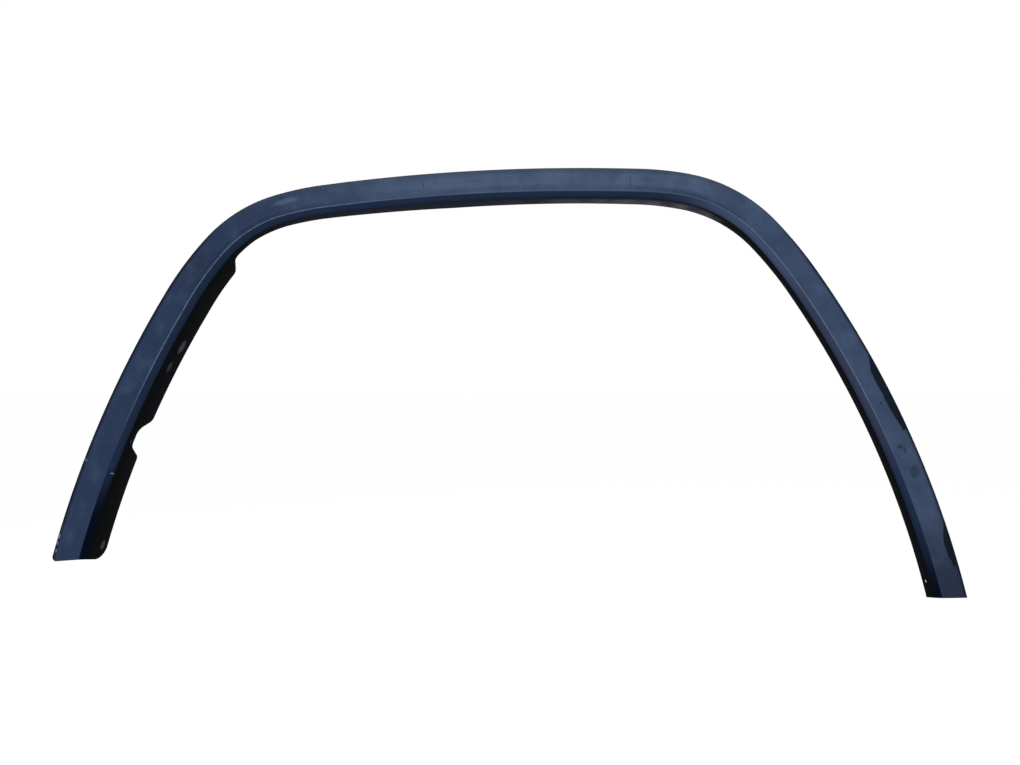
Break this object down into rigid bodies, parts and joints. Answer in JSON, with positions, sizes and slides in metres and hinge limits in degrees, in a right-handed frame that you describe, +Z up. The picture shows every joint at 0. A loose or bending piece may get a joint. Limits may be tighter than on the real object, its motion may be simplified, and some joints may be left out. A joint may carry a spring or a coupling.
{
  "type": "wheel arch trim",
  "caption": "Moulded plastic wheel arch trim with a creased show face, a return flange with a notched tab, and clip houses on its back.",
  "frame": {"origin": "centre of the keyhole seat of the crown clip house, on the body surface, at the highest point of the arch", "axes": "+X along the vehicle, with the tabbed leg at -X; +Y into the body panel; +Z up"},
  "size_m": [1.0251, 0.0679, 0.474],
  "materials": {
    "moulded_plastic": "satin slate-blue show face, black return flange and back"
  },
  "bodies": {
    "root": {"arch_moulding": "moulded_plastic"}
  },
  "joints": []
}
